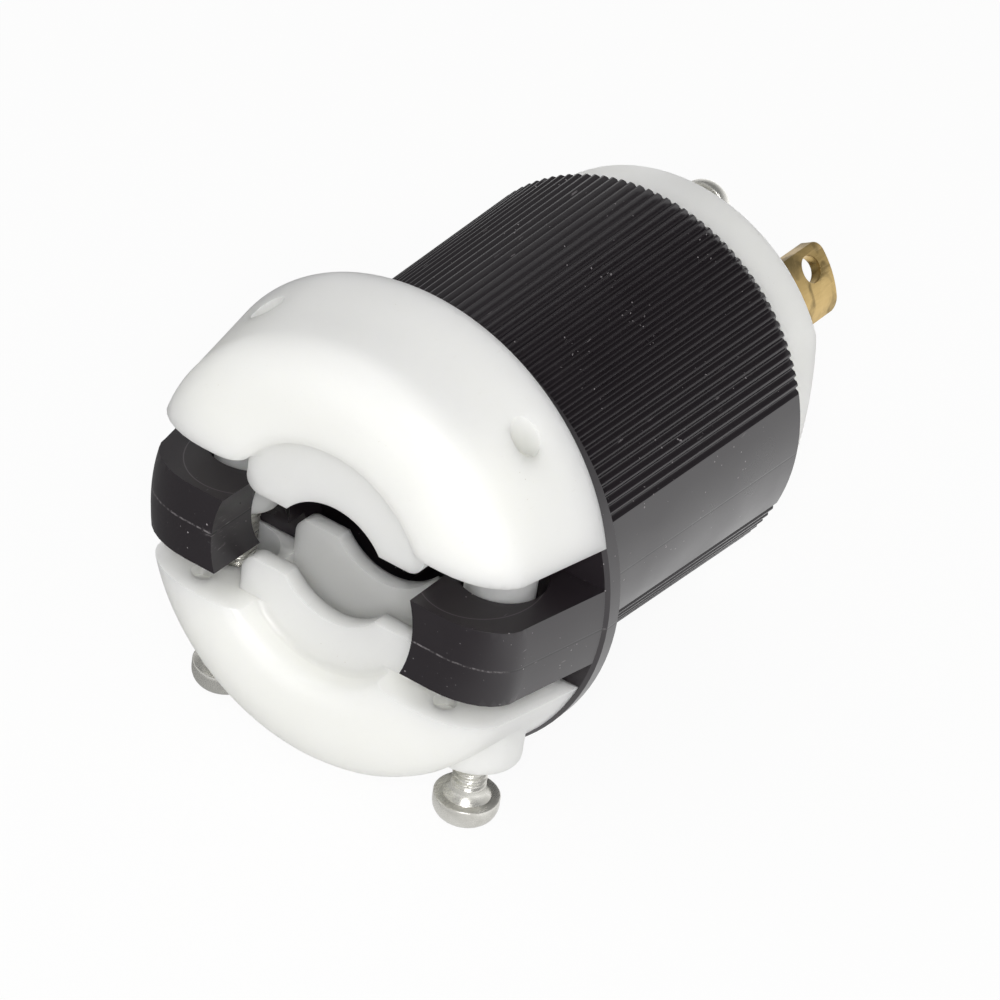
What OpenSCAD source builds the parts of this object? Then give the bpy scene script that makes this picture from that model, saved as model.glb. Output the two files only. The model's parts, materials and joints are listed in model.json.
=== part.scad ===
// Locking power plug: black ribbed cover with a cord-end flange and two ears,
// white face with three curved blades, and a two-piece cord clamp drawn
// together by two screws. Frame: origin at the centre of the flange's rear
// face, +Y towards the blades, +Z up, tipped by at_rest() as the plug lies.

/* [Cover] */
// Diameter of the flange at the cord end (mm)
flange_d = 57; // [54:0.5:66]
// Thickness of the flange (mm)
flange_t = 2.5; // [2:0.1:4]
// Length of the cover from the flange's rear face to its front edge (mm)
cover_len = 46.7; // [42:0.1:60]
// Diameter over the ribs at the front edge (mm)
grip_d = 50.5; // [48:0.1:54]
// Draft of the grip, smaller towards the flange (degrees)
grip_draft = 2.48; // [1:0.02:3.5]
// Wall thickness of the grip (mm)
wall_t = 2.6; // [2:0.1:3]
// Diameter of the cord hole through the flange (mm)
cord_hole_d = 28; // [26:0.2:28.4]

/* [Ribs] */
// Number of grooves in each ribbed half
rib_count = 49; // [24:1:49]
// Half angle of each smooth side panel (degrees)
panel_half = 18; // [12:0.5:30]
// Depth of the grooves between the ribs (mm)
rib_depth = 0.6; // [0.4:0.05:0.9]

/* [Cord clamp] */
// How far the upper half stands above the ears (mm)
upper_gap = 5.67; // [4:0.01:7]
// How far the lower half stands below the ears (mm)
lower_gap = 3.74; // [3:0.01:5]
// Length of the clamp behind the flange (mm)
clamp_len = 17.2; // [16:0.1:20]
// Thickness of the ears across the plug (mm)
ear_t = 10.12; // [9:0.02:12]
// Diameter of the saddle that grips the cord (mm)
saddle_d = 16; // [12:0.2:17]
// Distance of the clamp screws from the flange's edge (mm)
clamp_screw_inset = 10.85; // [10:0.05:11.4]
// Thread diameter of the clamp screws (mm)
clamp_screw_d = 4.16; // [3.5:0.02:4.5]

/* [Face and blades] */
// Length of the white face in front of the cover (mm)
face_len = 8.6; // [6:0.1:12]
// Diameter of the face at its front rim (mm)
face_d = 46.4; // [45:0.1:47.5]
// Diameter over the curved blades (mm)
blade_circle_d = 26.2; // [24:0.1:27]
// Thickness of the blades (mm)
blade_t = 1.5; // [1.2:0.05:1.8]
// Width of each blade (mm)
blade_w = 9.2; // [7:0.1:10]
// Length of the blades in front of the face (mm)
blade_len = 19.9; // [16:0.1:24]
// Distance of each face screw from the plug's axis (mm)
face_screw_z = 17.5; // [17.2:0.05:17.9]
// How far the face screws are backed out of their seats (mm)
screw_out = 6.4; // [0:0.1:8]

/* [Hidden] */
$fn = 96;

// Clearances
slide_gap = 0.35;    // between the clamp halves and the flange
thread_gap = 0.1;    // round a screw in the piece it threads into
hole_gap = 0.3;      // round a screw in a piece it only passes through
seat_gap = 0.05;     // between pieces that seat on each other inside
eps = 0.5;           // overrun of a cut

// Cover
flange_r = flange_d / 2;
flange_edge = 0.45;
crest_front = grip_d / 2;
taper = tan(grip_draft);
rear_wall = flange_t + 0.5;
cord_hole_r = cord_hole_d / 2;
bore_r = crest_front - wall_t;
boss_r = 4.4;
boss_front = cover_len * 0.51;
insert_r = 2.7;
insert_len = 9.5;
rib_pitch = (180 - 2 * panel_half) / rib_count;
groove_half = (crest_front - cover_len * taper) * rib_pitch * PI / 360 * 0.92;
groove_land = 0.06;
front_edge = 0.35;

// Ears and clamp halves share one outer profile
dome_r = flange_r - 0.4;
dome_slope = 0.191;
corner_axial = 5.2;
corner_radial = 7.9;
ear_back = clamp_len - 0.15;
ear_half = ear_t / 2;
ear_bore_r = 5.3;
clamp_screw_x = flange_r - clamp_screw_inset;
screw_y = -5.8;
upper_plane = ear_half + upper_gap;
lower_plane = -ear_half - lower_gap;
upper_rise = upper_gap - 2.28;
saddle_r = saddle_d / 2;
saddle_z = 1.15;
jaw_half = cord_hole_r - 1.7;
jaw_round = 2;
upper_jaw_end = upper_plane - 4.83;
lower_jaw_top = lower_plane + 5;
upper_jaw_back = clamp_len - 3.2;
lower_jaw_back = clamp_len - 4.4;
jaw_t = 2.4;
front_jaw_t = 2.2;
pocket_r = 23;
mouth_upper_r = 15.8;
mouth_lower_r = 15;
mouth_lip = 2.6;
post_r = 4.09;
post_end = ear_half - 6.86;
dimple_r = 1.75;
dimple_depth = 3;
pin_hole_r = 1.4;
pin_hole_x = clamp_screw_x - 0.45;
pin_hole_y = 4 - clamp_len;

// Clamp screws
screw_r = clamp_screw_d / 2;
head_r = 3.93;
head_h = 3.1;
head_side = 1.1;
head_flat = 2.3;
neck_r = screw_r + 0.75;
neck_h = 1.3;
bearing_z = -dome_r + 2.2;
screw_tip = upper_jaw_end + 3.1;
screw_bottom = bearing_z - head_h;
boss_bottom = -dome_r + 9.1;
lower_boss_r = 5.5;
post_pocket_r = post_r + 0.7;
post_pocket = 3.6;

// Face
face_front = cover_len + face_len;
face_rim_r = face_d / 2;
face_base_r = face_rim_r + 1.1;
face_side_r = face_rim_r * 3.04;
face_side_x = face_rim_r - 1.9 - face_side_r;
face_edge = 0.6;
spigot_len = 5.7;
spigot_r = bore_r - spigot_len * taper - 0.2;
shank_r = 1.75;
face_head_r = 3.43;
face_head_h = 2.3;
face_head_side = 0.8;
face_head_flat = 2;
seat_depth = 2.6;
seat_r = face_head_r + 0.5;
face_bearing = face_front - seat_depth + screw_out;
face_screw_tip = boss_front - insert_len + 2;

// Terminals
block_back = 18;
block_front = cover_len - spigot_len;
block_r = 19.9;
blade_out = blade_circle_d / 2;
blade_in = blade_out - blade_t;
blade_tip = face_front + blade_len;
blade_round = 1.5;
blade_hole_r = 1.8;
blade_hole_y = blade_tip - 3.8;
blade_hole_turn = 8.5;
blade_at = [30, 150, 270];
hook_len = 3.2;
wire_turn = [-36, 36, 44];
plate_in = blade_out + seat_gap;
plate_t = 1.5;
plate_out = plate_in + plate_t;
plate_front = block_front - 3;
plate_back = plate_front - 8;
blade_tail = plate_back - 1;
wire_y = (plate_back + plate_front) / 2;
wire_head_r = 3;
wire_shank_r = 1.5;
wire_head_h = 2;

// The plug lies on the clamp screws' heads and on the front of its ribs
rest_tilt = atan((-screw_bottom - crest_front + front_edge * taper)
    / (cover_len - front_edge - screw_y - head_flat));

// Turns the plug from its own axis to how it lies
module at_rest() {
    rotate([-rest_tilt, 0, 0])
        children();
}

// Lays a piece made along Z along the plug's axis, upwards to +Y
module along_y() {
    rotate([-90, 0, 0])
        children();
}

// A round bar along the plug's axis between two stations
module bar_y(r, back, front, x = 0, z = 0) {
    translate([x, back, z])
        along_y()
            cylinder(r = r, h = front - back);
}

// A round bar that points outwards from the plug's axis
module spoke(angle, y, r, from, to) {
    rotate([0, -angle, 0])
        translate([from, y, 0])
            rotate([0, 90, 0])
                cylinder(r = r, h = to - from);
}

// Radius over the ribs at a station of the axis
function crest_r(y) = crest_front - (cover_len - y) * taper;

// Outline of the dome that the ears and the clamp halves follow
function dome_outline(back) = let (knee = dome_r - dome_slope * (back - corner_axial)) concat(
    [[0, 0], [dome_r, 0]],
    [for (a = [0 : 11.25 : 90])
        [knee - corner_radial * (1 - cos(a)), corner_axial - back - corner_axial * sin(a)]],
    [[0, -back]]);

// The whole dome behind the flange
module dome(back) {
    along_y()
        rotate_extrude()
            polygon(dome_outline(back));
}

// One groove of the grip: a long bar whose sides roll from crest to valley
module groove() {
    start = flange_t + groove_land;
    length = (cover_len - start) / cos(grip_draft) + 0.5;
    translate([crest_r(start), start, 0])
        rotate([0, 0, -grip_draft])
            along_y()
                linear_extrude(length)
                    polygon(concat([[0.5, -groove_half * 1.04], [0.1, -groove_half * 1.04]],
                        [for (u = [-0.9 : 0.2 : 0.91])
                            [-rib_depth * pow(cos(90 * u), 1.3), groove_half * u]],
                        [[0.1, groove_half * 1.04], [0.5, groove_half * 1.04]]));
}

// All grooves of one ribbed half, upper or lower
module grooves(start) {
    for (i = [0 : rib_count - 1])
        rotate([0, -(start + panel_half + (i + 0.5) * rib_pitch), 0])
            groove();
}

// One ear of the cover, with its open screw bore
module ear(side) {
    difference() {
        intersection() {
            dome(ear_back);
            translate([side > 0 ? 8 : -flange_r, -ear_back - 1, -ear_half])
                cube([flange_r - 8, ear_back + 2, ear_t]);
        }
        bar_y(cord_hole_r, -ear_back - 1, 1);
        translate([side * clamp_screw_x, screw_y, -ear_half - 1])
            cylinder(r = ear_bore_r, h = ear_t + 2);
    }
}

module cover_shell() {
    color("#2a272a")
    difference() {
        union() {
            along_y()
                rotate_extrude()
                    polygon([[0, 0],
                        [flange_r - flange_edge, 0],
                        [flange_r, flange_edge],
                        [flange_r, flange_t],
                        [crest_r(flange_t), flange_t],
                        [crest_front - front_edge * taper, cover_len - front_edge],
                        [crest_front - front_edge, cover_len],
                        [0, cover_len]]);
            ear(1);
            ear(-1);
        }
        difference() {
            along_y()
                rotate_extrude()
                    polygon([[0, rear_wall],
                        [bore_r - (cover_len - rear_wall) * taper, rear_wall],
                        [bore_r + eps * taper, cover_len + eps],
                        [0, cover_len + eps]]);
            for (s = [-1, 1])
                bar_y(boss_r, rear_wall - 1, boss_front, 0, s * face_screw_z);
        }
        bar_y(cord_hole_r, -1, rear_wall + 1);
        for (s = [-1, 1])
            bar_y(insert_r + seat_gap, boss_front - insert_len, boss_front + 1, 0, s * face_screw_z);
        grooves(0);
        grooves(180);
    }
}

// Outline of the white face, from its spigot to its rounded rim
module face_blank() {
    along_y()
        rotate_extrude()
            polygon([[0, block_front],
                [spigot_r, block_front],
                [spigot_r, cover_len],
                [face_base_r, cover_len],
                [face_rim_r, face_front - face_edge],
                [face_rim_r - 0.15, face_front - 0.15],
                [face_rim_r - face_edge, face_front],
                [0, face_front]]);
}

// The long arc that flattens one side of the face
module face_side(side) {
    bar_y(face_side_r, block_front - 1, face_front + 1, side * face_side_x);
}

module face_body() {
    color("#ecebe2")
    difference() {
        intersection() {
            face_blank();
            face_side(1);
            face_side(-1);
        }
        for (a = blade_at)
            blade_space(a, block_front - 1, face_front + 1);
        for (s = [-1, 1]) {
            bar_y(shank_r + hole_gap, block_front - 1, face_front + 1, 0, s * face_screw_z);
            bar_y(seat_r, face_front - seat_depth, face_front + 1, 0, s * face_screw_z);
        }
    }
}

// The slot that a blade stands in, with room for the ground blade's hook
module blade_space(angle, back, front) {
    if (angle == blade_at[2])
        rotate([0, -angle, 0])
            translate([blade_in - hook_len - seat_gap, back, -blade_w / 2 - seat_gap])
                cube([hook_len + blade_t * 0.45, front - back, blade_t + 2 * seat_gap]);
    intersection() {
        difference() {
            bar_y(blade_out + seat_gap, back, front);
            bar_y(blade_in - seat_gap, back - 1, front + 1);
        }
        rotate([0, -angle, 0])
            translate([blade_in - 4, back, -blade_w / 2 - seat_gap])
                cube([8, front - back, blade_w + 2 * seat_gap]);
    }
}

// One curved blade with rounded tip corners, its locking hole and, on the
// ground blade, a hook that turns in towards the axis
module blade(angle, hole_turn, hook = 0) {
    color("#ae9668")
    difference() {
        union() {
            curved_blade(angle);
            if (hook > 0)
                rotate([0, -angle, 0])
                    translate([blade_in - hook, blade_tail, -blade_w / 2])
                        cube([hook + blade_t * 0.45, blade_tip - blade_tail - blade_round, blade_t]);
        }
        spoke(angle + hole_turn, blade_hole_y, blade_hole_r, blade_in - 3, blade_out + 2);
    }
}

// The curved wall of a blade
module curved_blade(angle) {
    intersection() {
        difference() {
            bar_y(blade_out, blade_tail, blade_tip);
            bar_y(blade_in, blade_tail - 1, blade_tip + 1);
        }
        rotate([0, -angle, 0])
            translate([blade_in - 4, 0, 0])
                rotate([90, 0, 90])
                    linear_extrude(8)
                        blade_outline();
    }
}

// A blade laid flat: along the plug's axis, with two round corners at its tip
module blade_outline() {
    half = blade_w / 2;
    translate([blade_tail, -half])
        square([blade_tip - blade_tail - blade_round, blade_w]);
    translate([blade_tip - blade_round - eps, blade_round - half])
        square([blade_round + eps, blade_w - 2 * blade_round]);
    for (s = [-1, 1])
        translate([blade_tip - blade_round, s * (half - blade_round)])
            circle(r = blade_round);
}

// A ring sector between two angles, for the wire plates
module sector(inner, outer, back, front, first, last) {
    rotate([0, -first, 0])
        translate([0, front, 0])
            rotate([90, 0, 0])
                rotate_extrude(angle = last - first)
                    translate([inner, 0])
                        square([outer - inner, front - back]);
}

// Where a wire plate begins and ends
function plate_first(i) = min(blade_at[i] - 15, blade_at[i] + wire_turn[i] - 14);
function plate_last(i) = max(blade_at[i] + 15, blade_at[i] + wire_turn[i] + 14);

module wire_plate(i) {
    color("#b79a5c")
    difference() {
        sector(plate_in, plate_out, plate_back, plate_front, plate_first(i), plate_last(i));
        spoke(blade_at[i] + wire_turn[i], wire_y, wire_shank_r + thread_gap, plate_in - 3, plate_out + 3);
    }
}

module wire_screw(i) {
    color("#b9bcc0")
    union() {
        spoke(blade_at[i] + wire_turn[i], wire_y, wire_shank_r, plate_in - 3, plate_out + 1);
        spoke(blade_at[i] + wire_turn[i], wire_y, wire_head_r, plate_out + seat_gap, plate_out + wire_head_h);
    }
}

module terminal_block() {
    color("#3a3634")
    difference() {
        bar_y(block_r, block_back, block_front);
        for (s = [-1, 1]) {
            bar_y(boss_r + hole_gap, block_back - 1, boss_front + hole_gap, 0, s * face_screw_z);
            bar_y(shank_r + hole_gap, block_back, block_front + 1, 0, s * face_screw_z);
        }
        for (i = [0 : 2]) {
            blade_space(blade_at[i], blade_tail, block_front + 1);
            sector(plate_in - seat_gap, plate_out + seat_gap, plate_back - seat_gap,
                plate_front + seat_gap, plate_first(i) - 0.3, plate_last(i) + 0.3);
            spoke(blade_at[i] + wire_turn[i], wire_y, wire_shank_r + hole_gap, plate_in - 3.5, plate_out);
            spoke(blade_at[i] + wire_turn[i], wire_y, wire_head_r + 0.8, plate_out - 0.5, block_r + 2);
            rotate([0, -(blade_at[i] + wire_turn[i]), 0])
                bar_y(2.2, block_back - 1, wire_y, plate_out + 1.6);
        }
    }
}

// Outline of a pan-head screw from its axis, bearing face at height 0 and
// head below, with a neck that swells into the head
function screw_outline(shank, length, head, side, height, flat, neck, neck_len) = concat(
    [[0, length], [shank - 0.4, length], [shank, length - 0.5], [shank, neck_len],
        [shank + (neck - shank) * 0.35, neck_len * 0.4], [neck, 0], [head - 0.15, 0], [head, -0.15]],
    [for (a = [0 : 18 : 90])
        [flat + (head - flat) * cos(a), -side - (height - side) * sin(a)]],
    [[0, -height]]);

// A clamp screw along Z with its head below
module clamp_screw(side) {
    color("#b4b2ab")
    translate([side * clamp_screw_x, screw_y, bearing_z])
        rotate_extrude()
            polygon(screw_outline(screw_r, screw_tip - bearing_z, head_r,
                head_side, head_h, head_flat, neck_r, neck_h));
}

// Jaw plate across the clamp, seen along the plug's axis
module jaw_outline(end, root) {
    flip = root > end ? 1 : -1;
    translate([-jaw_half, min(end + flip * jaw_round, root)])
        square([2 * jaw_half, abs(root - end) - jaw_round]);
    translate([-jaw_half + jaw_round, min(end, end + flip * 2 * jaw_round)])
        square([2 * (jaw_half - jaw_round), 2 * jaw_round]);
    for (s = [-1, 1])
        translate([s * (jaw_half - jaw_round), end + flip * jaw_round])
            circle(r = jaw_round);
}

// A jaw plate as a solid between two stations, end and root are heights
module jaw(end, root, back, front) {
    translate([0, front, 0])
        rotate([90, 0, 0])
            linear_extrude(front - back)
                jaw_outline(end, root);
}

module upper_clamp_half() {
    color("#f1f0e7")
    difference() {
        union() {
            difference() {
                intersection() {
                    translate([0, 0, upper_rise])
                        dome(clamp_len);
                    translate([-flange_r, -clamp_len - 1, upper_plane])
                        cube([flange_d, clamp_len + 1 - slide_gap, flange_d]);
                }
                bell_mouth(mouth_upper_r, upper_rise, upper_jaw_back);
                clamp_pocket(upper_rise, -upper_jaw_back + jaw_t, -front_jaw_t - slide_gap);
            }
            jaw(upper_jaw_end, upper_plane + 3, -upper_jaw_back, -upper_jaw_back + jaw_t);
            jaw(upper_jaw_end, upper_plane + 3, -front_jaw_t - slide_gap, -slide_gap);
            for (s = [-1, 1])
                translate([s * clamp_screw_x, screw_y, post_end])
                    cylinder(r = post_r, h = upper_plane - post_end + 1);
        }
        bar_y(saddle_r, -clamp_len - 1, 1, 0, saddle_z);
        for (s = [-1, 1])
            translate([s * clamp_screw_x, screw_y, 0]) {
                translate([0, 0, post_end - 1])
                    cylinder(r = screw_r + thread_gap, h = screw_tip + upper_gap + 2 - post_end);
                translate([0, 0, upper_plane + 12.7 - dimple_depth])
                    cylinder(r = dimple_r, h = 10);
            }
    }
}

// The rounded mouth at the rear that leads the cord in to the jaws
module bell_mouth(mouth_r, rise, depth_at) {
    deep = clamp_len - depth_at;
    translate([0, -clamp_len, rise])
        along_y()
            rotate_extrude()
                polygon(concat([[0, -1], [mouth_r + 0.6, -1], [mouth_r + 0.6, 0]],
                    [for (a = [15 : 15 : 90])
                        [mouth_r + 0.6 - mouth_lip * sin(a), mouth_lip * 0.7 * (1 - cos(a))]],
                    [for (a = [0 : 22.5 : 90])
                        [mouth_r - mouth_lip - 0.4 + cos(a), deep - 1 + sin(a)]],
                    [[0, deep]]));
}

// The hollow between the two jaws of a clamp half
module clamp_pocket(rise, back, front) {
    intersection() {
        bar_y(pocket_r, back, front, 0, rise);
        translate([-jaw_half + 0.3, back - 1, -flange_r])
            cube([2 * jaw_half - 0.6, front - back + 2, 2 * flange_d]);
    }
}

module lower_clamp_half() {
    color("#f1f0e7")
    difference() {
        union() {
            difference() {
                intersection() {
                    dome(clamp_len);
                    translate([-flange_r, -clamp_len - 1, lower_plane - flange_d])
                        cube([flange_d, clamp_len + 1 - slide_gap, flange_d]);
                }
                bell_mouth(mouth_lower_r, 0, lower_jaw_back);
                clamp_pocket(0, -lower_jaw_back + jaw_t, -front_jaw_t - slide_gap);
            }
            jaw(lower_jaw_top, lower_plane - 3, -lower_jaw_back, -lower_jaw_back + jaw_t);
            jaw(lower_jaw_top, lower_plane - 3, -front_jaw_t - slide_gap, -slide_gap);
            for (s = [-1, 1])
                translate([s * clamp_screw_x, screw_y, boss_bottom])
                    cylinder(r = lower_boss_r, h = lower_plane - boss_bottom);
        }
        bar_y(saddle_r, -clamp_len - 1, 1, 0, saddle_z);
        for (s = [-1, 1])
            translate([s * clamp_screw_x, screw_y, 0]) {
                translate([0, 0, -flange_d])
                    cylinder(r = screw_r + hole_gap, h = 2 * flange_d);
                translate([0, 0, lower_plane - post_pocket])
                    cylinder(r = post_pocket_r, h = post_pocket + 1);
                translate([0, 0, boss_bottom - 15])
                    cylinder(r = lower_boss_r, h = 15);
            }
        for (s = [-1, 1])
            translate([s * pin_hole_x, pin_hole_y, lower_plane - 1.5])
                cylinder(r = pin_hole_r, h = 3);
    }
}

// An assembly screw through the face, backed out of its seat
module face_screw(side) {
    color("#b4b2ab")
    translate([0, face_bearing, side * face_screw_z])
        rotate([90, 0, 0])
            rotate_extrude()
                polygon(screw_outline(shank_r, face_bearing - face_screw_tip, face_head_r,
                    face_head_side, face_head_h, face_head_flat, shank_r + 0.4, 0.7));
}

module cover_insert(side) {
    color("#b79a5c")
    difference() {
        bar_y(insert_r, boss_front - insert_len, boss_front, 0, side * face_screw_z);
        bar_y(shank_r + thread_gap, boss_front - insert_len - 1, boss_front + 1, 0, side * face_screw_z);
    }
}

at_rest() {
    cover_shell();
    face_body();
    terminal_block();
    blade(blade_at[0], blade_hole_turn);  // blade_line
    blade(blade_at[1], -blade_hole_turn);  // blade_neutral
    blade(blade_at[2], blade_hole_turn, hook_len);  // blade_ground
    wire_plate(0);  // terminal_line
    wire_plate(1);  // terminal_neutral
    wire_plate(2);  // terminal_ground
    wire_screw(0);  // terminal_screw_line
    wire_screw(1);  // terminal_screw_neutral
    wire_screw(2);  // terminal_screw_ground
    upper_clamp_half();
    lower_clamp_half();
    clamp_screw(-1);  // clamp_screw_left
    clamp_screw(1);  // clamp_screw_right
    face_screw(1);  // face_screw_upper
    face_screw(-1);  // face_screw_lower
    cover_insert(1);  // cover_insert_upper
    cover_insert(-1);  // cover_insert_lower
}
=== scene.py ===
"""Dresses the locking power plug: soft-edged nylon mouldings, brass blades and threaded steel screws.

Sizes are millimetres in the plug's own frame (+Y along the axis towards the blades, +Z up, origin at the
centre of the flange's rear face). ``PlugFrame`` scales them and tips them the way the plug lies.
"""

from __future__ import annotations

import json
import logging
import math
from dataclasses import dataclass, field
from enum import Enum

import bpy
from mathutils import Euler, Matrix, Vector

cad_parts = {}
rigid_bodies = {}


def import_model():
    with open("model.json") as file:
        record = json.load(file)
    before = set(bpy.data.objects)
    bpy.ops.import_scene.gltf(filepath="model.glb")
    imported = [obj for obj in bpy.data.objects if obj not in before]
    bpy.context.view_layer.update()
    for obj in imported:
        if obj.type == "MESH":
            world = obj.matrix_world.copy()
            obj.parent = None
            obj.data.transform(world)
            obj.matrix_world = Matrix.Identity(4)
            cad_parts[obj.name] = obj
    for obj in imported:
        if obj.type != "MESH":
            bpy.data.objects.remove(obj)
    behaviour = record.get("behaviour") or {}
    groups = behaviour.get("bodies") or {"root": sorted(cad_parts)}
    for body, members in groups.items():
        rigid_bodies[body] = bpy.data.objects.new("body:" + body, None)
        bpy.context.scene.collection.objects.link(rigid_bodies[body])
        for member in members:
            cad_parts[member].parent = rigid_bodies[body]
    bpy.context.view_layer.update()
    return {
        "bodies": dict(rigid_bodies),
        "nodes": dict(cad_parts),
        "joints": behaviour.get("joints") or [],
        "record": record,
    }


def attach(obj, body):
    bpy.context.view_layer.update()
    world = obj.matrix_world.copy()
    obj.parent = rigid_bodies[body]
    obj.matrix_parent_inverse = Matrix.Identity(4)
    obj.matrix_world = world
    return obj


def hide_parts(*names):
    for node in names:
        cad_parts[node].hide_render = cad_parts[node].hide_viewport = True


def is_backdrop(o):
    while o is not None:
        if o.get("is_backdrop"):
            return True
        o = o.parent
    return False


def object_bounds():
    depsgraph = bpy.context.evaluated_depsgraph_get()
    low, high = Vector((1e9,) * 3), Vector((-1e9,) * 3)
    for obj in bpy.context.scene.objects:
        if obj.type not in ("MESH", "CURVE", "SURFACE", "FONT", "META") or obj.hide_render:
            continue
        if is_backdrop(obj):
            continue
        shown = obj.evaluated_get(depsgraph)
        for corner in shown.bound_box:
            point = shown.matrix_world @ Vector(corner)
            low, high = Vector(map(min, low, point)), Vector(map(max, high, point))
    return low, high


LOG = logging.getLogger("plug")
MM = 0.001


class Body(Enum):
    """The rigid bodies of the plug."""

    PLUG = "plug"
    UPPER_CLAMP = "upper_clamp"
    LOWER_CLAMP = "lower_clamp"
    LEFT_SCREW = "left_clamp_screw"
    RIGHT_SCREW = "right_clamp_screw"


def linear(code: str) -> tuple[float, float, float, float]:
    """Turns an sRGB hex colour into linear RGBA.

    Args:
        code: Six hex digits, with or without a leading hash.

    Returns:
        Linear red, green, blue and an alpha of one.
    """
    code = code.lstrip("#")
    parts = [int(code[i : i + 2], 16) / 255 for i in (0, 2, 4)]
    red, green, blue = (c / 12.92 if c <= 0.04045 else ((c + 0.055) / 1.055) ** 2.4 for c in parts)
    return (red, green, blue, 1.0)


def add_node(tree: bpy.types.NodeTree, kind: str, values: dict | None = None, **settings: object) -> bpy.types.Node:
    """Adds a shader node with its settings, input values and links.

    Args:
        tree: The node tree to add to.
        kind: The node's type name.
        values: Input name or number to a value, or to an output socket to link from.
        **settings: Properties of the node.

    Returns:
        The new node.
    """
    node = tree.nodes.new(kind)
    for name, value in settings.items():
        setattr(node, name, value)
    for key, value in (values or {}).items():
        socket = node.inputs[key]
        if isinstance(value, bpy.types.NodeSocket):
            tree.links.new(value, socket)
        else:
            socket.default_value = value
    return node


@dataclass(frozen=True)
class PlugFrame:
    """Places millimetre work of the plug's own frame into the row frame."""

    tilt: float

    @classmethod
    def from_record(cls, record: dict) -> PlugFrame:
        """Reads the resting tilt from the cord entry's axis."""
        entry = next(m for m in record["mounts"] if m["name"] == "cord_entry")
        axis = Vector(entry["axis"])
        return cls(math.atan2(axis.z, -axis.y))

    def matrix(self) -> Matrix:
        """Turns and scales a millimetre mesh into place."""
        return Matrix.Rotation(-self.tilt, 4, "X") @ Matrix.Scale(MM, 4)

    def back_turn(self) -> tuple[float, float, float]:
        """Gives the turn, about X, that takes row directions back to the plug's own."""
        return (self.tilt, 0.0, 0.0)

    def point(self, x: float, y: float, z: float) -> Vector:
        """Gives a plug point, in millimetres, in row metres."""
        return self.matrix() @ Vector((x, y, z))

    def turn(self, direction: tuple[float, float, float]) -> Vector:
        """Turns a plug direction into the row frame."""
        return Matrix.Rotation(-self.tilt, 3, "X") @ Vector(direction)


# ---------------------------------------------------------------------------------------------- finishes


def near(tree: bpy.types.NodeTree, value: bpy.types.NodeSocket, target: float, width: float) -> bpy.types.NodeSocket:
    """Makes a mask that is one where a value is close to a target.

    Args:
        tree: The node tree to add to.
        value: The value to compare.
        target: Where the mask is one.
        width: The distance from the target at which the mask has faded out.

    Returns:
        The mask's socket.
    """
    off = add_node(tree, "ShaderNodeMath", {0: value, 1: target}, operation="SUBTRACT")
    away = add_node(tree, "ShaderNodeMath", {0: off.outputs[0]}, operation="ABSOLUTE")
    return add_node(tree, "ShaderNodeMapRange", {0: away.outputs[0], 1: width * 0.4, 2: width, 3: 1.0, 4: 0.0}).outputs[0]


def times(tree: bpy.types.NodeTree, *values: bpy.types.NodeSocket | float) -> bpy.types.NodeSocket:
    """Multiplies sockets and numbers into one socket."""
    product = values[0]
    for value in values[1:]:
        product = add_node(tree, "ShaderNodeMath", {0: product, 1: value}, operation="MULTIPLY").outputs[0]
    return product


def above(tree: bpy.types.NodeTree, value: bpy.types.NodeSocket, limit: float) -> bpy.types.NodeSocket:
    """Makes a mask that is one where a value is above a limit."""
    return add_node(tree, "ShaderNodeMath", {0: value, 1: limit}, operation="GREATER_THAN").outputs[0]


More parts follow.
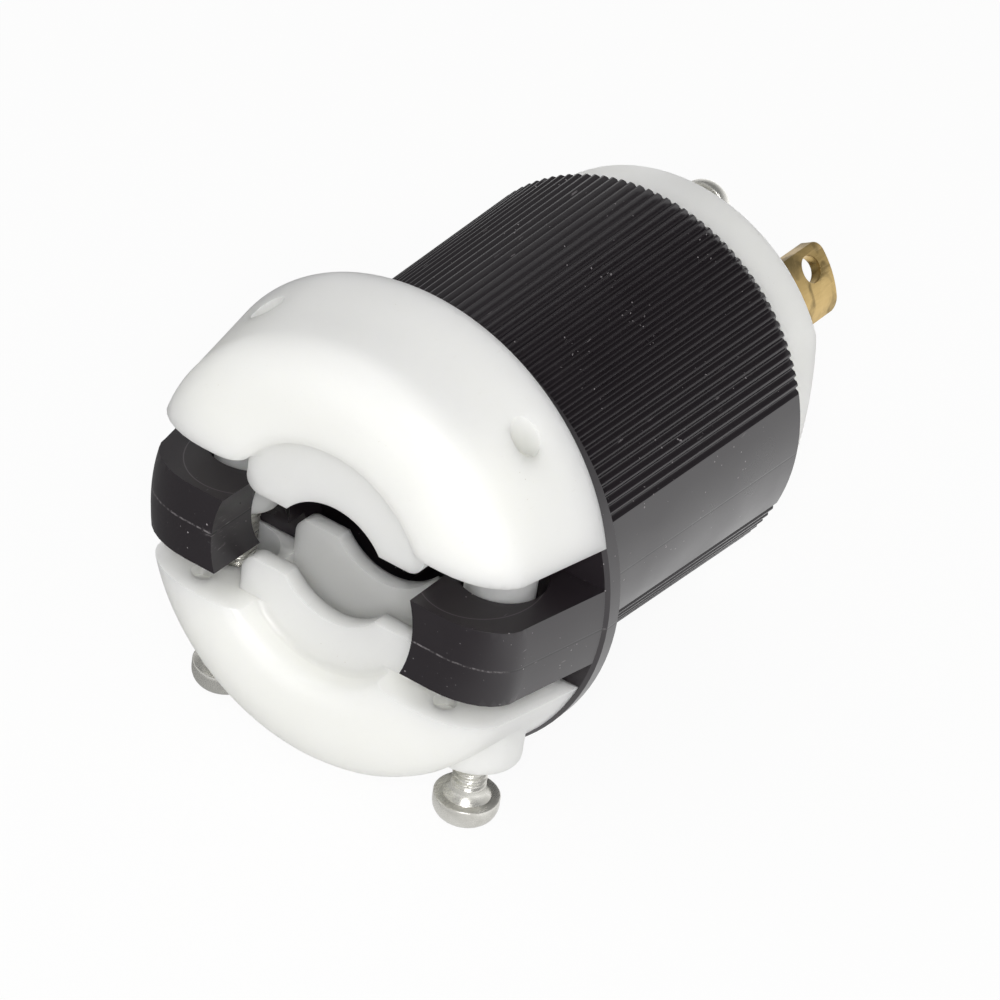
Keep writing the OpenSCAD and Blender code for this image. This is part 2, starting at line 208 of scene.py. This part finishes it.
@dataclass(frozen=True)
class CoverMarks:
    """What the mould and handling left on the black cover, with painted light along its mould lines, in plug
    millimetres.

    A parting line runs round the middle plane: raised, with a painted highlight patchy with dust, on the ears' rear
    faces, and a thin line of painted shade elsewhere. A fine oval line of painted highlight, for light caught at the
    edge of a shallow recess, surrounds each ear's bore; a short curled fibre lies on the right ear, and the left ear's
    inner face is scuffed.
    """

    place: PlugFrame
    seam_width: float = 0.15
    scuff_centre: tuple[float, float, float] = (-13.4, -14.8, -0.6)
    scuff_reach: float = 3.2
    ring_centre: tuple[float, float] = (16.5, -8.0)
    ring_half: tuple[float, float] = (6.8, 8.0)
    ear_half: float = 5.06
    ear_rear: float = -16.8
    fibre_centre: tuple[float, float] = (21.7, 1.4)
    fibre_radius: float = 0.56

    def masks(self, tree: bpy.types.NodeTree, place: bpy.types.NodeSocket) -> tuple[bpy.types.NodeSocket, ...]:
        """Gives the mask of the light marks, painted highlights among them, and the mask of the seam's painted shade.

        Args:
            tree: The node tree to add to.
            place: The object coordinates.

        Returns:
            Masks of the light marks, painted highlights among them, and of the seam's painted shade.
        """
        own = add_node(tree, "ShaderNodeMapping", {"Vector": place, "Rotation": self.place.back_turn(),
                                                  "Scale": (1 / MM, 1 / MM, 1 / MM)})
        xyz = add_node(tree, "ShaderNodeSeparateXYZ", {0: own.outputs[0]})
        side = add_node(tree, "ShaderNodeMath", {0: xyz.outputs[0]}, operation="ABSOLUTE").outputs[0]
        way = add_node(tree, "ShaderNodeSeparateXYZ", {0: add_node(tree, "ShaderNodeNewGeometry").outputs["Normal"]})
        # Faces turned rearward get the seam's painted highlight; the other faces get its painted shade.
        rearward = add_node(tree, "ShaderNodeMapRange", {0: way.outputs[1], 1: -0.5, 2: -0.8, 3: 0.0, 4: 1.0}).outputs[0]
        other = add_node(tree, "ShaderNodeMath", {0: 1.0, 1: rearward}, operation="SUBTRACT").outputs[0]
        seam = near(tree, xyz.outputs[2], 0.0, self.seam_width)
        # Patchy strength of the seam's painted highlight, mixed with dust.
        glint_and_dust_noise = add_node(tree, "ShaderNodeTexNoise", {"Vector": own.outputs[0], "Scale": 2.2, "Detail": 3.0})
        glint_and_dust = add_node(tree, "ShaderNodeMapRange", {0: glint_and_dust_noise.outputs[0], 1: 0.4, 2: 0.62, 3: 0.04, 4: 0.6}).outputs[0]
        # A painted highlight in an oval round each ear's bore, standing for light caught at the edge of a shallow
        # recess on the ear's top.
        across = add_node(tree, "ShaderNodeMath", {0: side, 1: -self.ring_centre[0]}, operation="ADD").outputs[0]
        along = add_node(tree, "ShaderNodeMath", {0: xyz.outputs[1], 1: -self.ring_centre[1]}, operation="ADD").outputs[0]
        oval = add_node(tree, "ShaderNodeCombineXYZ", {0: times(tree, across, 1 / self.ring_half[0]),
                                                      1: times(tree, along, 1 / self.ring_half[1])})
        reach = add_node(tree, "ShaderNodeVectorMath", {0: oval.outputs[0]}, operation="LENGTH").outputs["Value"]
        ring_highlight = times(tree, near(tree, reach, 1.0, 0.012), near(tree, xyz.outputs[2], self.ear_half, 0.2), 0.22)
        flat = add_node(tree, "ShaderNodeCombineXYZ", {0: xyz.outputs[0], 2: xyz.outputs[2]})
        centre = (self.fibre_centre[0], 0.0, self.fibre_centre[1])
        from_fibre = add_node(tree, "ShaderNodeVectorMath", {0: flat.outputs[0], 1: centre}, operation="SUBTRACT")
        fibre_reach = add_node(tree, "ShaderNodeVectorMath", {0: from_fibre.outputs[0]}, operation="LENGTH")
        upper_right = add_node(tree, "ShaderNodeVectorMath", {0: from_fibre.outputs[0], 1: (0.8, 0.0, 0.6)},
                               operation="DOT_PRODUCT")
        behind = add_node(tree, "ShaderNodeMath", {0: xyz.outputs[1], 1: self.ear_rear}, operation="LESS_THAN").outputs[0]
        fibre = times(tree, near(tree, fibre_reach.outputs["Value"], self.fibre_radius, 0.09),
                      above(tree, upper_right.outputs["Value"], -0.12), behind, 0.55)
        from_scuff = add_node(tree, "ShaderNodeVectorMath", {0: own.outputs[0], 1: self.scuff_centre},
                              operation="SUBTRACT")
        scuff_reach = add_node(tree, "ShaderNodeVectorMath", {0: from_scuff.outputs[0]}, operation="LENGTH")
        scrape = add_node(tree, "ShaderNodeMapping", {"Vector": own.outputs[0], "Rotation": (0.35, 0.0, 0.0),
                                                     "Scale": (1.2, 0.7, 4.5)})
        scraped = add_node(tree, "ShaderNodeTexNoise", {"Vector": scrape.outputs[0], "Scale": 1.0, "Detail": 4.0})
        scuffs = add_node(tree, "ShaderNodeMapRange", {0: scraped.outputs[0], 1: 0.6, 2: 0.72, 3: 0.0, 4: 0.7})
        close_by = add_node(tree, "ShaderNodeMapRange",
                            {0: scuff_reach.outputs["Value"], 1: self.scuff_reach * 0.5, 2: self.scuff_reach,
                             3: 1.0, 4: 0.0})
        scuff = times(tree, scuffs.outputs[0], close_by.outputs[0])
        # Painted highlight along the seam on the rear faces, patchy with dust.
        light = times(tree, seam, rearward, glint_and_dust)
        for mask in (ring_highlight, fibre, scuff):
            light = add_node(tree, "ShaderNodeMath", {0: light, 1: mask}, operation="MAXIMUM").outputs[0]
        # The second mask is the seam's painted shade on the faces that do not face rearward.
        return light, times(tree, seam, other, 0.75)


@dataclass(frozen=True)
class MouldedNylon:
    """Injection-moulded nylon: a satin skin with dust, faint handling scratches and soft mottling; on the cover,
    CoverMarks add painted highlights and painted shade.

    The rough value sets how wide the soft reflection of the lamps spreads. Natural nylon also lets light
    travel some millimetres through it, which subsurface and depth_mm set.
    """

    name: str
    skin: str
    shade: str
    dust: str
    rough: float
    dust_amount: float
    scratch_amount: float
    grain_mm: float = 0.12
    subsurface: float = 0.0
    depth_mm: float = 7.0
    marks: CoverMarks | None = None

    def dirt(self, tree: bpy.types.NodeTree, place: bpy.types.NodeSocket) -> bpy.types.NodeSocket:
        """Makes the mask of the dust specks and short hair scratches."""
        speck = add_node(tree, "ShaderNodeTexVoronoi", {"Vector": place, "Scale": 900.0, "Randomness": 1.0})
        patch = add_node(tree, "ShaderNodeTexNoise", {"Vector": place, "Scale": 160.0, "Detail": 3.0})
        size = add_node(tree, "ShaderNodeMapRange",
                        {0: patch.outputs[0], 1: 0.4, 2: 0.75, 3: 0.0, 4: 0.16 * self.dust_amount})
        specks = add_node(tree, "ShaderNodeMath", {0: speck.outputs["Distance"], 1: size.outputs[0]},
                          operation="LESS_THAN")
        strands = add_node(tree, "ShaderNodeMapping", {"Vector": place, "Rotation": (0.5, 0.9, 0.4),
                                                      "Scale": (2600.0, 260.0, 2600.0)})
        hair = add_node(tree, "ShaderNodeTexNoise", {"Vector": strands.outputs[0], "Scale": 1.0, "Detail": 1.0})
        hairs = add_node(tree, "ShaderNodeMapRange",
                         {0: hair.outputs[0], 1: 0.76, 2: 0.81, 3: 0.0, 4: self.scratch_amount})
        return add_node(tree, "ShaderNodeMath", {0: specks.outputs[0], 1: hairs.outputs[0]},
                        operation="MAXIMUM").outputs[0]

    def build(self) -> bpy.types.Material:
        """Makes the node material."""
        mat = bpy.data.materials.new(self.name)
        mat.use_nodes = True
        tree = mat.node_tree
        shader = tree.nodes["Principled BSDF"]
        place = add_node(tree, "ShaderNodeTexCoord").outputs["Object"]
        cloud = add_node(tree, "ShaderNodeTexNoise", {"Vector": place, "Scale": 90.0, "Detail": 4.0})
        colour = add_node(tree, "ShaderNodeMix", {0: cloud.outputs[0], 6: linear(self.skin), 7: linear(self.shade)},
                          data_type="RGBA")
        light = self.dirt(tree, place)
        if self.marks:
            # The cover's light marks include painted highlights; its dark mask is painted shade along the seam.
            bright, seam_shade = self.marks.masks(tree, place)
            light = add_node(tree, "ShaderNodeMath", {0: light, 1: bright}, operation="MAXIMUM").outputs[0]
            # Painted shade: the seam turns near black away from the rear faces.
            colour = add_node(tree, "ShaderNodeMix", {0: seam_shade, 6: colour.outputs[2], 7: linear("050405")},
                              data_type="RGBA")
        # Dust, and on the cover the painted highlights, take the dust colour.
        colour = add_node(tree, "ShaderNodeMix", {0: light, 6: colour.outputs[2], 7: linear(self.dust)},
                          data_type="RGBA")
        gloss = add_node(tree, "ShaderNodeMapRange",
                         {0: cloud.outputs[0], 1: 0.3, 2: 0.7, 3: self.rough - 0.04, 4: self.rough + 0.06})
        dull = add_node(tree, "ShaderNodeMath", {0: light, 1: 0.35, 2: gloss.outputs[0]},
                        operation="MULTIPLY_ADD", use_clamp=True)
        grain = add_node(tree, "ShaderNodeTexNoise",
                         {"Vector": place, "Scale": 1.0 / (self.grain_mm * MM), "Detail": 2.0})
        height = grain.outputs[0]
        if self.marks:
            # The seam's painted-shade mask also sinks the skin a little along the seam.
            height = add_node(tree, "ShaderNodeMath", {0: seam_shade, 1: -9.0, 2: height}, operation="MULTIPLY_ADD").outputs[0]
        relief = add_node(tree, "ShaderNodeBump", {"Height": height, "Strength": 0.2, "Distance": 0.015 * MM})
        tree.links.new(colour.outputs[2], shader.inputs["Base Color"])
        tree.links.new(dull.outputs[0], shader.inputs["Roughness"])
        tree.links.new(relief.outputs[0], shader.inputs["Normal"])
        shader.inputs["IOR"].default_value = 1.53
        if self.subsurface:
            shader.inputs["Subsurface Weight"].default_value = self.subsurface
            shader.inputs["Subsurface Radius"].default_value = (1.0, 1.0, 0.97)
            shader.inputs["Subsurface Scale"].default_value = self.depth_mm * MM
        return mat


@dataclass(frozen=True)
class PlainMetal:
    """Stamped or turned metal: a lightly brushed sheen with small tone changes and handling stains."""

    name: str
    bright: str
    dull: str
    stain: str
    rough: float
    stain_amount: float
    metallic: float = 1.0

    def build(self) -> bpy.types.Material:
        """Makes the node material."""
        mat = bpy.data.materials.new(self.name)
        mat.use_nodes = True
        tree = mat.node_tree
        shader = tree.nodes["Principled BSDF"]
        place = add_node(tree, "ShaderNodeTexCoord").outputs["Object"]
        cloud = add_node(tree, "ShaderNodeTexNoise", {"Vector": place, "Scale": 350.0, "Detail": 5.0})
        tone = add_node(tree, "ShaderNodeMix", {0: cloud.outputs[0], 6: linear(self.bright), 7: linear(self.dull)},
                        data_type="RGBA")
        blot = add_node(tree, "ShaderNodeTexNoise", {"Vector": place, "Scale": 260.0, "Detail": 6.0, "Distortion": 0.6})
        stained = add_node(tree, "ShaderNodeMapRange",
                           {0: blot.outputs[0], 1: 0.5, 2: 0.64, 3: 0.0, 4: self.stain_amount})
        colour = add_node(tree, "ShaderNodeMix", {0: stained.outputs[0], 6: tone.outputs[2], 7: linear(self.stain)},
                          data_type="RGBA")
        brushed = add_node(tree, "ShaderNodeMapping", {"Vector": place, "Scale": (9000.0, 350.0, 9000.0)})
        streak = add_node(tree, "ShaderNodeTexNoise", {"Vector": brushed.outputs[0], "Scale": 1.0, "Detail": 2.0})
        gloss = add_node(tree, "ShaderNodeMapRange",
                         {0: streak.outputs[0], 1: 0.3, 2: 0.7, 3: self.rough - 0.06, 4: self.rough + 0.1})
        dull = add_node(tree, "ShaderNodeMath", {0: stained.outputs[0], 1: 0.2, 2: gloss.outputs[0]},
                        operation="MULTIPLY_ADD", use_clamp=True)
        relief = add_node(tree, "ShaderNodeBump",
                          {"Height": streak.outputs[0], "Strength": 0.2, "Distance": 0.01 * MM})
        tree.links.new(colour.outputs[2], shader.inputs["Base Color"])
        tree.links.new(dull.outputs[0], shader.inputs["Roughness"])
        tree.links.new(relief.outputs[0], shader.inputs["Normal"])
        shader.inputs["Metallic"].default_value = self.metallic
        return mat


@dataclass
class Finishes:
    """The plug's materials by the record's slot names."""

    place: PlugFrame
    made: dict[str, bpy.types.Material] = field(default_factory=dict)

    def build(self) -> None:
        """Makes every finish once."""
        recipes = {
            "black_nylon": MouldedNylon("moulded_black_nylon", "1e191d", "252024", "8f8a8c", 0.3, 1.0, 0.5,
                                        marks=CoverMarks(self.place)),
            "white_nylon": MouldedNylon("moulded_white_nylon", "f7f7f2", "f3f3ed", "dedbd0", 0.34, 0.4, 0.2,
                                        subsurface=1.0),
            "dark_phenolic": MouldedNylon("moulded_phenolic", "2e2a28", "37322f", "6d6763", 0.5, 0.4, 0.1),
            "blade_brass": PlainMetal("stamped_brass", "bfa570", "a38a56", "655838", 0.32, 0.65),
            "wire_plate_brass": PlainMetal("formed_brass", "c6a55f", "a5854a", "7d6a3f", 0.33, 0.3),
            "screw_steel": PlainMetal("zinc_plated_steel", "e9e8e3", "cfcdc6", "a5a29a", 0.27, 0.3, metallic=0.8),
        }
        self.made = {slot: recipe.build() for slot, recipe in recipes.items()}

    def dress(self, obj: bpy.types.Object, slot: str) -> None:
        """Gives a whole piece one finish."""
        obj.data.materials.clear()
        obj.data.materials.append(self.made[slot])


# ------------------------------------------------------------------------------------------------ pieces


def select_only(obj: bpy.types.Object) -> None:
    """Makes one object the only selected and the active one."""
    for other in list(bpy.context.selected_objects):
        other.select_set(False)
    obj.select_set(True)
    bpy.context.view_layer.objects.active = obj


def apply_modifiers(obj: bpy.types.Object) -> None:
    """Applies every modifier of an object in order."""
    select_only(obj)
    for mod in list(obj.modifiers):
        bpy.ops.object.modifier_apply(modifier=mod.name)


def merged_copy(frame: dict, node: str, name: str) -> bpy.types.Object:
    """Copies a node's solid and merges the points that its faces share.

    Args:
        frame: The loaded frame.
        node: The node to copy.
        name: The copy's name.

    Returns:
        The copy, alone and selected.
    """
    piece = bpy.data.objects.new(name, frame["nodes"][node].data.copy())
    bpy.context.scene.collection.objects.link(piece)
    select_only(piece)
    bpy.ops.object.mode_set(mode="EDIT")
    bpy.ops.mesh.select_all(action="SELECT")
    bpy.ops.mesh.remove_doubles(threshold=0.002 * MM)
    bpy.ops.object.mode_set(mode="OBJECT")
    return piece


def stand_in(piece: bpy.types.Object, node: str, body: Body, slot: str, finishes: Finishes) -> bpy.types.Object:
    """Dresses a piece and puts it on its body in the place of a node."""
    finishes.dress(piece, slot)
    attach(piece, body.value)
    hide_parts(node)
    LOG.info("%s: %d faces", piece.name, len(piece.data.polygons))
    return piece


@dataclass
class EdgedSolid:
    """A crisp moulding or stamping whose solid gets narrow rounded edges and smooth curved faces."""

    node: str
    body: Body
    slot: str
    edge_mm: float = 0.12
    corner_deg: float = 32.0
    steps: int = 2

    def build(self, frame: dict, finishes: Finishes) -> bpy.types.Object:
        """Copies the solid, rounds its edges and dresses it.

        Args:
            frame: The loaded frame.
            finishes: The finishes to pick from.

        Returns:
            The piece that stands for the node.
        """
        piece = merged_copy(frame, self.node, f"{self.node}_edged")
        bevel = piece.modifiers.new("edges", "BEVEL")
        bevel.width = self.edge_mm * MM
        bevel.segments = self.steps
        bevel.limit_method = "ANGLE"
        bevel.angle_limit = math.radians(self.corner_deg)
        bevel.use_clamp_overlap = True
        flats = piece.modifiers.new("flats", "WEIGHTED_NORMAL")
        flats.keep_sharp = True
        bpy.ops.object.shade_smooth_by_angle(angle=math.radians(self.corner_deg + 8.0))
        apply_modifiers(piece)
        return stand_in(piece, self.node, self.body, self.slot, finishes)


@dataclass
class CarriedNode:
    """A node whose own solid shows, with a finish."""

    node: str
    slot: str

    def build(self, frame: dict, finishes: Finishes) -> None:
        """Dresses the node."""
        finishes.dress(frame["nodes"][self.node], self.slot)
        LOG.info("%s: dressed as %s", self.node, self.slot)


@dataclass
class ThreadedScrew:
    """A pan-head machine screw with a rolled thread and a cross recess.

    It is turned about its own +Z, which points from the head to the tip; height 0 is the bearing face.
    """

    node: str
    body: Body
    seat: tuple[float, float, float]
    turn_deg: tuple[float, float, float]
    length: float
    shank_r: float
    head_r: float
    head_h: float
    head_side: float
    head_flat: float
    neck_r: float
    neck_h: float
    pitch: float
    thread_depth: float
    slot: str = "screw_steel"
    columns: int = 40
    rows_per_pitch: int = 9
    recess_w: float = 0.8
    recess_depth: float = 1.4

    def outline(self) -> list[tuple[float, float, float]]:
        """Lists radius, height and thread depth from the head's crown to the tip."""
        rows = [(0.0, -self.head_h, 0.0), (self.head_flat * 0.5, -self.head_h, 0.0)]
        for step in range(10, -1, -1):
            angle = math.radians(9.0 * step)
            rows.append((self.head_flat + (self.head_r - self.head_flat) * math.cos(angle),
                         -self.head_side - (self.head_h - self.head_side) * math.sin(angle), 0.0))
        rows += [(self.head_r, -0.12, 0.0), (self.head_r - 0.12, 0.0, 0.0), (self.neck_r, 0.0, 0.0)]
        for step in range(1, 6):
            share = step / 5
            rows.append((self.neck_r + (self.shank_r - self.neck_r) * math.sin(share * math.pi / 2),
                         self.neck_h * share, 0.0))
        count = round((self.length - 0.5 - self.neck_h) / self.pitch * self.rows_per_pitch)
        for step in range(1, count + 1):
            height = self.neck_h + (self.length - 0.5 - self.neck_h) * step / count
            fade = min(1.0, (height - self.neck_h) / self.pitch)
            rows.append((self.shank_r, height, self.thread_depth * fade))
        root = self.shank_r - self.thread_depth
        rows += [(root, self.length - 0.1, 0.0), (root - 0.2, self.length, 0.0), (0.0, self.length, 0.0)]
        return rows

    def turned(self) -> bpy.types.Object:
        """Wraps a grid round the axis into one closed screw."""
        rows = self.outline()
        bpy.ops.mesh.primitive_grid_add(x_subdivisions=self.columns, y_subdivisions=len(rows) - 1, size=2.0)
        piece = bpy.context.active_object
        piece.name = f"{self.node}_threaded"
        for vert in piece.data.vertices:
            turn = (vert.co.x + 1.0) / 2.0
            radius, height, depth = rows[round((vert.co.y + 1.0) / 2.0 * (len(rows) - 1))]
            wave = 0.5 - 0.5 * math.cos(2.0 * math.pi * (height / self.pitch - turn))
            radius -= depth * wave**0.8
            angle = 2.0 * math.pi * turn
            vert.co = (radius * math.cos(angle), radius * math.sin(angle), height)
        select_only(piece)
        bpy.ops.object.mode_set(mode="EDIT")
        bpy.ops.mesh.select_all(action="SELECT")
        bpy.ops.mesh.remove_doubles(threshold=0.001)
        bpy.ops.mesh.normals_make_consistent(inside=False)
        bpy.ops.object.mode_set(mode="OBJECT")
        return piece

    def cut_recess(self, piece: bpy.types.Object) -> None:
        """Cuts the cross recess into the head's crown."""
        for turn in (0.0, math.pi / 2):
            bpy.ops.mesh.primitive_cube_add(size=1.0, location=(0.0, 0.0, -self.head_h), rotation=(0.0, 0.0, turn),
                                            scale=(self.head_flat * 1.5, self.recess_w, 2.0 * self.recess_depth))
            cutter = bpy.context.active_object
            cut = piece.modifiers.new("recess", "BOOLEAN")
            cut.operation = "DIFFERENCE"
            cut.solver = "EXACT"
            cut.object = cutter
            apply_modifiers(piece)
            bpy.data.objects.remove(cutter)

    def build(self, place: PlugFrame, finishes: Finishes) -> bpy.types.Object:
        """Turns the screw, cuts its recess and seats it.

        Args:
            place: The plug's frame.
            finishes: The finishes to pick from.

        Returns:
            The piece that stands for the node.
        """
        piece = self.turned()
        self.cut_recess(piece)
        seat = Matrix.Translation(self.seat) @ Euler([math.radians(a) for a in self.turn_deg]).to_matrix().to_4x4()
        piece.data.transform(place.matrix() @ seat)
        select_only(piece)
        bpy.ops.object.shade_smooth_by_angle(angle=math.radians(48.0))
        return stand_in(piece, self.node, self.body, self.slot, finishes)


@dataclass
class Fasteners:
    """The two clamp screws and the two face screws."""

    place: PlugFrame
    clamp_x: float = 17.65
    clamp_y: float = -5.8
    clamp_bearing: float = -25.9
    clamp_tip: float = 9.0
    face_z: float = 17.5
    face_bearing: float = 59.1
    face_tip: float = 16.32

    def build(self, finishes: Finishes) -> None:
        """Makes all four screws."""
        for body, side, name in ((Body.LEFT_SCREW, -1, "left"), (Body.RIGHT_SCREW, 1, "right")):
            ThreadedScrew(
                node=f"clamp_screw_{name}", body=body, seat=(side * self.clamp_x, self.clamp_y, self.clamp_bearing),
                turn_deg=(0.0, 0.0, 0.0), length=self.clamp_tip - self.clamp_bearing, shank_r=2.08, head_r=3.93,
                head_h=3.1, head_side=1.1, head_flat=2.3, neck_r=2.83, neck_h=1.3, pitch=0.794, thread_depth=0.42,
            ).build(self.place, finishes)
        for side, name in ((1, "upper"), (-1, "lower")):
            ThreadedScrew(
                node=f"face_screw_{name}", body=Body.PLUG, seat=(0.0, self.face_bearing, side * self.face_z),
                turn_deg=(90.0, 0.0, 0.0), length=self.face_bearing - self.face_tip, shank_r=1.75, head_r=3.43,
                head_h=2.3, head_side=0.8, head_flat=2.0, neck_r=2.15, neck_h=0.7, pitch=0.794, thread_depth=0.36,
                recess_w=0.7, recess_depth=1.1,
            ).build(self.place, finishes)


# ------------------------------------------------------------------------------------------------- studio


@dataclass
class Studio:
    """Floor, lamps, world and camera."""

    place: PlugFrame
    eye_mm: tuple[float, float, float] = (213.82, -351.18, 287.30)
    right: tuple[float, float, float] = (0.81216585, 0.56865545, 0.13045156)
    down: tuple[float, float, float] = (0.41490827, -0.40575988, -0.81437709)
    ahead: tuple[float, float, float] = (-0.41016796, 0.7155347, -0.56548417)
    lens_mm: float = 158.15
    floor_dim: float = 0.24
    floor_bright: float = 1.5

    def camera(self) -> None:
        """Sets the camera where the plug is seen from."""
        data = bpy.data.cameras.new("camera")
        data.lens = self.lens_mm
        data.sensor_width = 36.0
        data.clip_start, data.clip_end = 0.01, 20.0
        cam = bpy.data.objects.new("camera", data)
        bpy.context.scene.collection.objects.link(cam)
        axes = [self.place.turn(self.right), -self.place.turn(self.down), -self.place.turn(self.ahead)]
        turn = Matrix([[axes[c][r] for c in range(3)] for r in range(3)]).to_4x4()
        cam.matrix_world = Matrix.Translation(self.place.point(*self.eye_mm)) @ turn
        bpy.context.scene.camera = cam

    def floor(self, height: float) -> None:
        """Lays a pale floor at a height."""
        bpy.ops.mesh.primitive_plane_add(size=12.0, location=(0, 0, height))
        ground = bpy.context.active_object
        ground.name = "floor"
        mat = bpy.data.materials.new("pale_floor")
        mat.use_nodes = True
        tree = mat.node_tree
        shader = tree.nodes["Principled BSDF"]
        shader.inputs["Base Color"].default_value = linear("f4f4f2")
        shader.inputs["Roughness"].default_value = 0.9
        shader.inputs["Specular IOR Level"].default_value = 0.1
        glow = add_node(tree, "ShaderNodeEmission", {"Color": (1.0, 1.0, 1.0, 1.0), "Strength": 1.0})
        rays = add_node(tree, "ShaderNodeLightPath")
        spot = add_node(tree, "ShaderNodeTexCoord").outputs["Object"]
        aside = add_node(tree, "ShaderNodeVectorMath", {0: spot, 1: (0.8, 0.6, 0.0)}, operation="DOT_PRODUCT")
        mirrored = add_node(tree, "ShaderNodeMapRange",
                            {0: aside.outputs["Value"], 1: -0.03, 2: 0.06, 3: self.floor_dim, 4: self.floor_bright})
        level = add_node(tree, "ShaderNodeMix",
                         {0: rays.outputs["Is Glossy Ray"], 2: 1.0, 3: mirrored.outputs[0]})
        tree.links.new(level.outputs[0], glow.inputs["Strength"])
        direct = add_node(tree, "ShaderNodeMath", {0: rays.outputs["Is Camera Ray"], 1: 0.93}, operation="MULTIPLY")
        share = add_node(tree, "ShaderNodeMath", {0: direct.outputs[0], 1: rays.outputs["Is Glossy Ray"]},
                         operation="MAXIMUM")
        both = add_node(tree, "ShaderNodeMixShader",
                        {0: share.outputs[0], 1: shader.outputs[0], 2: glow.outputs[0]})
        tree.links.new(both.outputs[0], tree.nodes["Material Output"].inputs["Surface"])
        ground.data.materials.append(mat)
        ground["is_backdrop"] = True

    def lamp(self, name: str, spot: tuple[float, float, float], size: float, power: float) -> None:
        """Hangs a soft square lamp that looks at the plug."""
        data = bpy.data.lights.new(name, "AREA")
        data.shape = "SQUARE"
        data.size = size
        data.energy = power
        lamp = bpy.data.objects.new(name, data)
        bpy.context.scene.collection.objects.link(lamp)
        lamp.location = spot
        aim = Vector((0.0, 0.02, 0.0)) - lamp.location
        lamp.rotation_euler = aim.to_track_quat("-Z", "Y").to_euler()

    def world(self, ambient: float, horizon: float, zenith: float) -> None:
        """Fills the scene with soft white light and shows white behind the plug.

        Args:
            ambient: Strength for diffuse light.
            horizon: Strength that reflections see at the horizon and below.
            zenith: Strength that reflections see overhead.
        """
        world = bpy.data.worlds.new("studio")
        bpy.context.scene.world = world
        world.use_nodes = True
        tree = world.node_tree
        back = tree.nodes["Background"]
        rays = add_node(tree, "ShaderNodeLightPath")
        way = add_node(tree, "ShaderNodeTexCoord")
        height = add_node(tree, "ShaderNodeSeparateXYZ", {0: way.outputs["Generated"]})
        gloss = add_node(tree, "ShaderNodeMapRange", {0: height.outputs[2], 1: 0.05, 2: 0.75, 3: horizon, 4: zenith},
                         interpolation_type="SMOOTHSTEP")
        mirror = add_node(tree, "ShaderNodeMix", {0: rays.outputs["Is Glossy Ray"], 2: ambient, 3: gloss.outputs[0]})
        seen = add_node(tree, "ShaderNodeMath",
                        {0: rays.outputs["Is Camera Ray"], 1: rays.outputs["Is Transmission Ray"]},
                        operation="MAXIMUM")
        level = add_node(tree, "ShaderNodeMix", {0: seen.outputs[0], 2: mirror.outputs[0], 3: 1.0})
        back.inputs["Color"].default_value = (1.0, 1.0, 1.0, 1.0)
        tree.links.new(level.outputs[0], back.inputs["Strength"])

    def build(self, height: float) -> None:
        """Sets up the whole studio."""
        self.floor(height)
        self.world(0.47, 0.95, 0.12)
        self.lamp("front", tuple(1.25 * self.place.point(*self.eye_mm)), 0.14, 2.3)
        self.lamp("overhead", (-0.35, -0.2, 0.75), 0.4, 0.3)
        bpy.context.scene.view_settings.view_transform = "Standard"
        LOG.info("studio is set, floor at %.4f m", height)


def main() -> None:
    """Builds the plug's sub-assemblies in order."""
    logging.basicConfig(level=logging.INFO, format="%(name)s: %(message)s")
    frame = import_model()
    place = PlugFrame.from_record(frame["record"])
    studio = Studio(place)
    studio.camera()
    finishes = Finishes(place)
    finishes.build()
    slots = {row["node"]: row["material_slot"] for row in frame["record"]["subparts"]}
    for node, slot in slots.items():
        CarriedNode(node, slot).build(frame, finishes)
    EdgedSolid("upper_clamp_half", Body.UPPER_CLAMP, "white_nylon", edge_mm=0.4, steps=3).build(frame, finishes)
    EdgedSolid("lower_clamp_half", Body.LOWER_CLAMP, "white_nylon", edge_mm=0.4, steps=3).build(frame, finishes)
    EdgedSolid("cover_shell", Body.PLUG, "black_nylon", edge_mm=0.1).build(frame, finishes)
    EdgedSolid("face_body", Body.PLUG, "white_nylon", edge_mm=0.2).build(frame, finishes)
    for name in ("line", "neutral", "ground"):
        EdgedSolid(f"blade_{name}", Body.PLUG, "blade_brass", edge_mm=0.16).build(frame, finishes)
    Fasteners(place).build(finishes)
    studio.build(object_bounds()[0].z)


if __name__ == "__main__":
    main()
